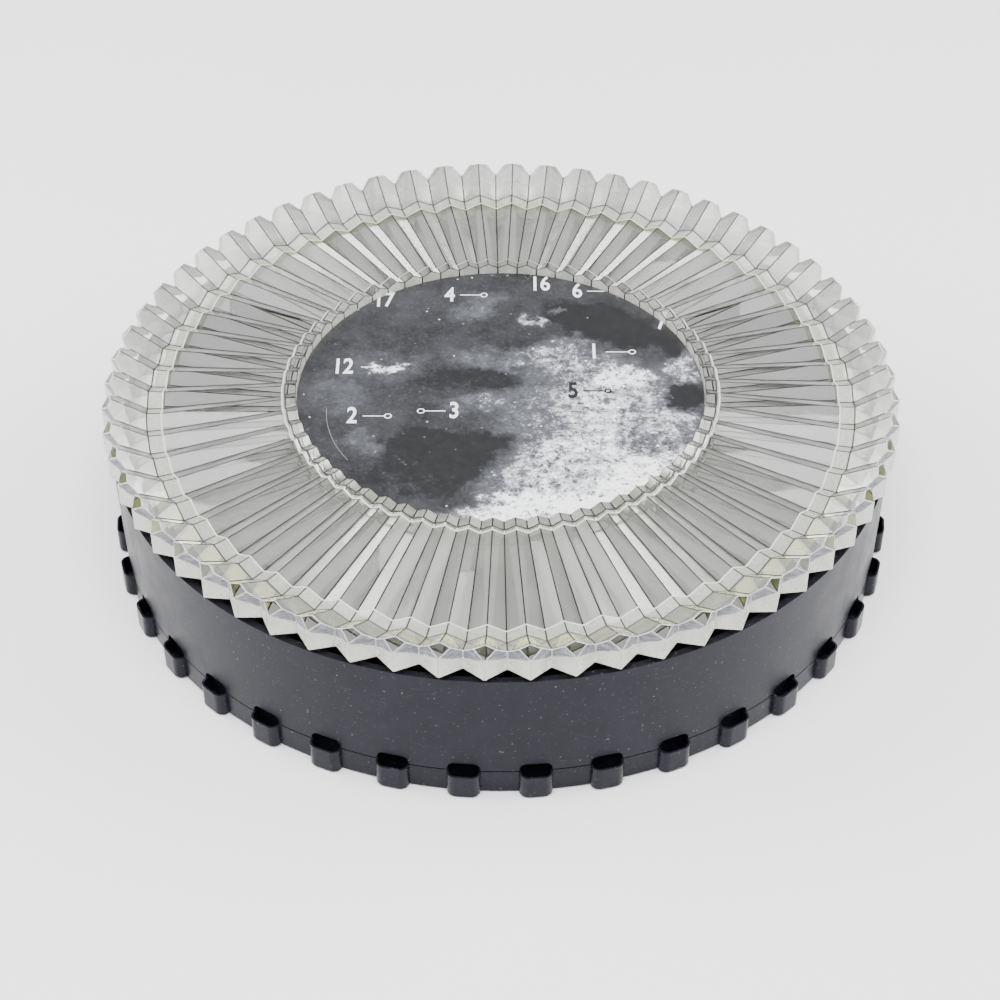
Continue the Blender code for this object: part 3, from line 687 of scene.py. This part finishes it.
def make_prism_ring(finishes):
    """The clear ring, rib by rib, with a fine fillet along every edge."""
    mesh_data = bmesh.new()
    side_out, side_across, side_height = kite_corner()
    tip_height = KITE_HEIGHT - KITE_FALL * (TIP_RADIUS - KITE_RADIUS)
    lift = upwards(PRISM_Z)

    def vertex(radius, azimuth, height):
        return mesh_data.verts.new(polar(radius, azimuth, height) + lift)

    ridges = []
    valleys = []
    for azimuth in ring_azimuths(RIB_COUNT, RIB_PHASE):
        along = polar(1.0, azimuth)
        side = polar(1.0, azimuth + math.pi / 2.0)
        up = upwards(side_height)
        ridges.append({
            "top": [vertex(radius, azimuth, height) for radius, height in RIDGE],
            "tip": vertex(TIP_RADIUS, azimuth, tip_height),
            "foot": vertex(TIP_RADIUS, azimuth, 0.0),
            "bore": vertex(BORE_RADIUS, azimuth, 0.0),
            "right": mesh_data.verts.new(along * side_out - side * side_across + up + lift),
            "left": mesh_data.verts.new(along * side_out + side * side_across + up + lift),
        })
        turned_on = azimuth + HALF_PITCH
        valleys.append({
            "top": [vertex(radius, turned_on, height) for radius, height in valley_points()],
            "foot": vertex(WALL_VALLEY_RADIUS, turned_on, 0.0),
            "bore": vertex(BORE_RADIUS / math.cos(HALF_PITCH), turned_on, 0.0),
        })
    for index, ridge in enumerate(ridges):
        top = ridge["top"]
        mesh_data.faces.new((top[-1], ridge["right"], ridge["tip"], ridge["left"]))
        for valley, corner in ((valleys[index], "left"), (valleys[index - 1], "right")):
            low = valley["top"]
            for step in range(len(RIDGE) - 2):
                mesh_data.faces.new(top[step:step + 2] + low[step:step + 2][::-1])
            side = ridge[corner]
            mesh_data.faces.new((top[-2], top[-1], side, low[-1], low[-2]))
            mesh_data.faces.new((ridge["foot"], ridge["tip"], side, low[-1], valley["foot"]))
            mesh_data.faces.new((ridge["bore"], top[0], low[0], valley["bore"]))
            mesh_data.faces.new((ridge["bore"], ridge["foot"], valley["foot"], valley["bore"]))
    fillet_ribs(mesh_data)
    ring = add_object("prism_ring_fine", mesh_data, finishes[0], smooth=False)
    for finish in finishes[1:]:
        ring.data.materials.append(finish)
    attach(ring, "cover")
    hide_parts("prism_ring")


def radii_of(face):
    return [math.hypot(vert.co.x, vert.co.y) for vert in face.verts]


def fillet_ribs(mesh_data):
    """Sort the faces by kind, fillet every edge above the underside in one pass, and sort those.

    A second pass over the new edges would leave the ring open.
    """
    bmesh.ops.recalc_face_normals(mesh_data, faces=mesh_data.faces)
    band_from = OUTER_STEP_RADIUS - FACE_MARGIN
    band_to = KITE_RADIUS - FACE_MARGIN
    for face in mesh_data.faces:
        radii = radii_of(face)
        if abs(face.normal.z) < UPRIGHT_NORMAL:
            face.material_index = WALL_SLOT
        elif face.normal.z > 0.0 and band_from < min(radii) < band_to:
            face.material_index = BAND_SLOT if max(radii) < band_to else SLOPE_SLOT
    underside = PRISM_Z + 0.01 * MM
    edges = [
        edge for edge in mesh_data.edges
        if max(vert.co.z for vert in edge.verts) > underside
        and edge.calc_face_angle(0.0) > EDGE_ANGLE
    ]
    # Every fillet takes the painted dark line first. Those round the rim and along the steps are
    # then given the painted highlight lines.
    bmesh.ops.bevel(
        mesh_data,
        geom=edges,
        offset=EDGE_BEVEL,
        segments=1,
        affect="EDGES",
        material=PAINTED_DARK_LINE_SLOT,
        clamp_overlap=True,
    )
    rim_radius = SLOPE_RADIUS + FACE_MARGIN
    steps = (INNER_STEP_RADIUS, OUTER_STEP_RADIUS)
    for face in mesh_data.faces:
        if face.material_index != PAINTED_DARK_LINE_SLOT:
            continue
        radii = radii_of(face)
        near_step = any(
            abs(radius - step) < 2.0 * EDGE_BEVEL for radius in radii for step in steps
        )
        if min(radii) > rim_radius:
            face.material_index = RIM_SLOT
        elif near_step and max(radii) - min(radii) < 4.0 * EDGE_BEVEL:
            face.material_index = STEP_SLOT


# ---------------------------------------------------------------- drum and foot

def make_drum_wall(finish):
    foot_z = SEAM_Z + FIT
    profile = [
        (DRUM_FOOT_RADIUS - DRUM_WALL, foot_z),
        (DRUM_FOOT_RADIUS, foot_z),
        (DRUM_TOP_RADIUS, DRUM_TOP_Z),
        (DRUM_TOP_RADIUS - DRUM_WALL, DRUM_TOP_Z),
    ]
    drum = turned("drum_wall_fine", profile, finish)
    notches = bmesh.new()
    inner_radius = DRUM_FOOT_RADIUS - 2.0 * DRUM_WALL
    for azimuth in ring_azimuths(LUG_COUNT, LUG_PHASE):
        outline = notch_outline(azimuth, inner_radius, SEAM_Z, foot_z + NOTCH_HEIGHT)
        add_prism(notches, outline, polar(NOTCH_DEPTH, azimuth))
    combine(drum, link_mesh("notches", notches), "DIFFERENCE")
    bevel_edges(drum, DRUM_BEVEL)
    even_out(drum)
    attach(drum, "drum")
    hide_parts("drum_wall")


def make_lug_ring(finish):
    profile = [
        (LEDGE_INNER_RADIUS, LEDGE_Z),
        (RING_INNER_RADIUS, LEDGE_Z),
        (RING_INNER_RADIUS, BASE_Z),
        (DRUM_FOOT_RADIUS, BASE_Z),
        (DRUM_FOOT_RADIUS, SEAM_Z),
        (SPIGOT_RADIUS, SEAM_Z),
        (SPIGOT_RADIUS, SPIGOT_TOP_Z),
        (SPIGOT_INNER_RADIUS, SPIGOT_TOP_Z),
        (SPIGOT_INNER_RADIUS, LEDGE_TOP_Z),
        (LEDGE_INNER_RADIUS, LEDGE_TOP_Z),
    ]
    ring = turned("lug_ring_fine", profile, finish)
    lugs = bmesh.new()
    pockets = bmesh.new()
    root = DRUM_FOOT_RADIUS - LUG_ROOT
    pocket_reach = DRUM_FOOT_RADIUS + LUG_REACH - LUG_WALL - POCKET_INNER_RADIUS
    pocket_width = LUG_WIDTH - 2.0 * LUG_WALL
    pocket_corner = LUG_CORNER - LUG_WALL
    for azimuth in ring_azimuths(LUG_COUNT, LUG_PHASE):
        outline = lug_outline(azimuth, root, LUG_WIDTH, LUG_ROOT + LUG_REACH, LUG_CORNER, BASE_Z)
        add_prism(lugs, outline, upwards(SEAM_Z - BASE_Z))
        outline = lug_outline(
            azimuth, POCKET_INNER_RADIUS, pocket_width, pocket_reach, pocket_corner, POCKET_FLOOR,
        )
        add_prism(pockets, outline, upwards(SEAM_Z - POCKET_FLOOR + FIT))
    combine(ring, link_mesh("lugs", lugs), "UNION")
    combine(ring, link_mesh("pockets", pockets), "DIFFERENCE")
    bevel_edges(ring, FOOT_BEVEL)
    even_out(ring)
    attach(ring, "drum")
    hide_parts("lug_ring")


# ---------------------------------------------------------------- chart

# The chart's numerals, in millimetres from its centre, and whether the ink is dark.
NUMERALS = [
    ("17", -46.5, 58.0, False),
    ("4", -20.3, 61.5, False),
    ("16", 15.8, 69.0, False),
    ("6", 30.6, 64.2, False),
    ("7", 63.0, 43.0, False),
    ("1", 36.0, 24.0, False),
    ("5", 27.3, -0.4, True),
    ("12", -60.4, 14.5, False),
    ("2", -55.4, -15.5, False),
    ("3", -17.4, -12.5, False),
]
# Its pointers: start, end, whether a ring stands at the end, and whether the ink is dark.
POINTERS = [
    ((-16.2, 61.6), (-6.7, 61.6), True, False),
    ((34.6, 64.2), (41.6, 64.2), False, False),
    ((40.6, 24.0), (50.7, 24.0), True, False),
    ((31.0, -0.4), (40.5, -0.4), True, True),
    ((-53.5, 14.4), (-47.5, 14.4), False, False),
    ((-51.4, -15.5), (-42.0, -15.5), True, False),
    ((-20.6, -12.5), (-29.8, -12.5), True, False),
]
NUMERAL_SIZE = 13.2 * MM
NUMERAL_STRETCH = (0.62, 1.0)
LIGHT_SPREAD = 0.26 * MM              # how far the ink spreads round a numeral
DARK_SPREAD = 0.38 * MM
POINTER_WIDTH = 0.5 * MM
DARK_POINTER_WIDTH = 0.8 * MM
POINTER_RING = 1.5 * MM
INK_THICKNESS = 0.03 * MM
SCRATCH_CENTRE = (-12.1 * MM, -10.75 * MM)
SCRATCH_RADIUS = 52.9 * MM
SCRATCH_START = 180.3                 # degrees
SCRATCH_SWEEP = 34.6
SCRATCH_STEPS = 24
SCRATCH_WIDTH = 0.18 * MM


def ink_ring(mesh_data, centre, inner, outer):
    """Add a flat printed ring."""
    low, high = CHART_TOP_Z, CHART_TOP_Z + INK_THICKNESS
    loops = []
    for radius, level in ((inner, low), (outer, low), (outer, high), (inner, high)):
        loops.append([
            mesh_data.verts.new(centre + polar(radius, turn, level))
            for turn in ring_azimuths(INK_RING_STEPS)
        ])
    for first, second in zip(loops, loops[1:] + loops[:1]):
        for index in range(INK_RING_STEPS):
            mesh_data.faces.new((first[index - 1], first[index], second[index], second[index - 1]))


def make_numerals(light, dark):
    for text, x, y, is_dark in NUMERALS:
        curve = bpy.data.curves.new("numeral_" + text, "FONT")
        curve.body = text
        curve.size = NUMERAL_SIZE
        curve.align_x = "CENTER"
        curve.align_y = "CENTER"
        curve.offset = DARK_SPREAD if is_dark else LIGHT_SPREAD
        curve.extrude = INK_THICKNESS / 2.0
        curve.resolution_u = NUMERAL_RESOLUTION
        source = bpy.data.objects.new("numeral_source", curve)
        bpy.context.scene.collection.objects.link(source)
        bpy.context.view_layer.update()
        graph = bpy.context.evaluated_depsgraph_get()
        mesh = bpy.data.meshes.new_from_object(source.evaluated_get(graph))
        bpy.data.objects.remove(source, do_unlink=True)
        place = Matrix.Translation((x * MM, y * MM, CHART_TOP_Z + INK_THICKNESS / 2.0))
        mesh.transform(place @ Matrix.Diagonal((*NUMERAL_STRETCH, 1.0, 1.0)))
        mesh.materials.clear()
        mesh.materials.append(dark if is_dark else light)
        made = bpy.data.objects.new("numeral_" + text, mesh)
        bpy.context.scene.collection.objects.link(made)
        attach(made, "cover")


def make_pointers(light, dark):
    for index, (first, last, ringed, is_dark) in enumerate(POINTERS):
        ink = dark if is_dark else light
        width = DARK_POINTER_WIDTH if is_dark else POINTER_WIDTH
        start = Vector((first[0] * MM, first[1] * MM, 0.0))
        end = Vector((last[0] * MM, last[1] * MM, 0.0))
        along = (end - start).normalized()
        side = Vector((-along.y, along.x, 0.0)) * width / 2.0
        stop = end - along * POINTER_RING if ringed else end
        corners = [start - side, stop - side, stop + side, start + side]
        mesh_data = bmesh.new()
        lifted = [corner + upwards(CHART_TOP_Z) for corner in corners]
        add_prism(mesh_data, lifted, upwards(INK_THICKNESS))
        pointer = add_object(f"pointer_{index + 1}", mesh_data, ink, smooth=False)
        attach(pointer, "cover")
        if ringed:
            mesh_data = bmesh.new()
            ink_ring(mesh_data, end, POINTER_RING - width, POINTER_RING)
            ring = add_object(f"pointer_ring_{index + 1}", mesh_data, ink)
            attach(ring, "cover")


def make_scratch(finish):
    """The arc scratched lightly into the print."""
    centre = Vector((*SCRATCH_CENTRE, CHART_TOP_Z))
    turns = [
        math.radians(SCRATCH_START + SCRATCH_SWEEP * step / SCRATCH_STEPS)
        for step in range(SCRATCH_STEPS + 1)
    ]
    outline = [centre + polar(SCRATCH_RADIUS, turn) for turn in turns]
    outline += [centre + polar(SCRATCH_RADIUS + SCRATCH_WIDTH, turn) for turn in reversed(turns)]
    mesh_data = bmesh.new()
    add_prism(mesh_data, outline, upwards(INK_THICKNESS))
    scratch = add_object("chart_scratch", mesh_data, finish, smooth=False)
    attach(scratch, "cover")


def make_chart():
    profile = [
        (0.0, CHART_Z),
        (CHART_RADIUS, CHART_Z),
        (CHART_RADIUS, CHART_TOP_Z),
        (0.0, CHART_TOP_Z),
    ]
    chart = turned("moon_chart_fine", profile, moon_print())
    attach(chart, "cover")
    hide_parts("moon_chart")
    light = plain_ink("chart_ink_light", (0.86, 0.87, 0.90))
    dark = plain_ink("chart_ink_dark", (0.008, 0.008, 0.009))
    make_numerals(light, dark)
    make_pointers(light, dark)
    make_scratch(plain_ink("chart_ink_scratch", (0.22, 0.22, 0.23)))


# ---------------------------------------------------------------- carried-over nodes

def finish_nodes(finishes):
    """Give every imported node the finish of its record's slot."""
    slots = {entry["node"]: entry["material_slot"] for entry in frame["record"]["subparts"]}
    for name, node in frame["nodes"].items():
        node.data.materials.clear()
        node.data.materials.append(finishes[slots[name]])


# ---------------------------------------------------------------- stage, lights and camera

FLOOR_HALF_WIDTH = 4.0
WORLD_COLOUR = (0.96, 0.97, 1.0, 1.0)
WORLD_STRENGTH = 0.6
LIGHT_TARGET = (0.0, 0.0, 0.05)
LIGHTS = [                            # name, place, size and watts
    ("overhead", (0.0, -0.5, 1.7), (1.3, 1.0), 56.0),
    ("left_box", (-1.3, 0.3, 0.9), (1.4, 1.2), 34.0),
    ("right_box", (1.3, 0.3, 0.9), (1.4, 1.2), 34.0),
]
CAMERA_ELEVATION = math.radians(41.03)
CAMERA_PLACE = (-0.00028, -0.6339, 0.5578)
CAMERA_LENS = 76.67
CAMERA_SENSOR = 36.0


def make_stage():
    finish = Surface("floor", (0.93, 0.93, 0.93), 0.7)
    cloud = finish.remap(finish.noise(3.0, 3.0), 0.3, 0.7)
    finish.link(finish.mix(cloud, (0.92, 0.92, 0.92), (0.94, 0.94, 0.94)), "Base Color")
    mesh_data = bmesh.new()
    bmesh.ops.create_grid(mesh_data, x_segments=1, y_segments=1, size=FLOOR_HALF_WIDTH)
    floor = add_object("floor", mesh_data, finish.material, smooth=False)


def area_light(name, place, size, power):
    data = bpy.data.lights.new(name, "AREA")
    data.shape = "RECTANGLE"
    data.size, data.size_y = size
    data.energy = power
    light = bpy.data.objects.new(name, data)
    light.location = place
    aim = Vector(LIGHT_TARGET) - Vector(place)
    light.rotation_euler = aim.to_track_quat("-Z", "Y").to_euler()
    bpy.context.scene.collection.objects.link(light)


def make_lights():
    world = bpy.data.worlds.new("studio")
    world.use_nodes = True
    background = world.node_tree.nodes["Background"]
    background.inputs[0].default_value = WORLD_COLOUR
    background.inputs[1].default_value = WORLD_STRENGTH
    bpy.context.scene.world = world
    for name, place, size, power in LIGHTS:
        area_light(name, place, size, power)


def make_camera():
    data = bpy.data.cameras.new("camera")
    data.lens = CAMERA_LENS
    data.sensor_width = CAMERA_SENSOR
    camera = bpy.data.objects.new("camera", data)
    camera.location = CAMERA_PLACE
    camera.rotation_euler = (math.pi / 2.0 - CAMERA_ELEVATION, 0.0, 0.0)
    bpy.context.scene.collection.objects.link(camera)
    bpy.context.scene.camera = camera


def main():
    make_camera()
    make_lights()
    make_stage()
    black = (0.007, 0.007, 0.011)
    drum = moulded_plastic("drum_plastic", black, 0.32)
    foot_ring = moulded_plastic("foot_ring_plastic", black, 0.26, speck=0.4)
    acrylic = clear_acrylic()
    finishes = {
        "drum_plastic": drum,
        "foot_ring_plastic": foot_ring,
        "inner_plastic": moulded_plastic("inner_plastic", (0.012, 0.012, 0.013), 0.5, speck=0.3),
        "foot_rubber": soft_solid("foot_rubber", (0.03, 0.03, 0.03), 0.85),
        "screw_steel": bare_metal("screw_steel", (0.50, 0.50, 0.51), 0.38),
        "pivot_steel": bare_metal("pivot_steel", (0.62, 0.62, 0.64), 0.28),
        "glide_nylon": soft_solid("glide_nylon", (0.80, 0.79, 0.72), 0.45),
        "bush_brass": bare_metal("bush_brass", (0.72, 0.53, 0.25), 0.33),
        "reflector": reflector_sheet(),
        "clear_acrylic": acrylic,
        "chart_board": soft_solid("chart_board", (0.80, 0.79, 0.74), 0.7),
        "chart_print": plain_ink("chart_ink_grey", (0.30, 0.30, 0.32)),
    }
    finish_nodes(finishes)
    make_drum_wall(drum)
    make_lug_ring(foot_ring)
    make_prism_ring(ring_finishes(acrylic))
    make_chart()


main()
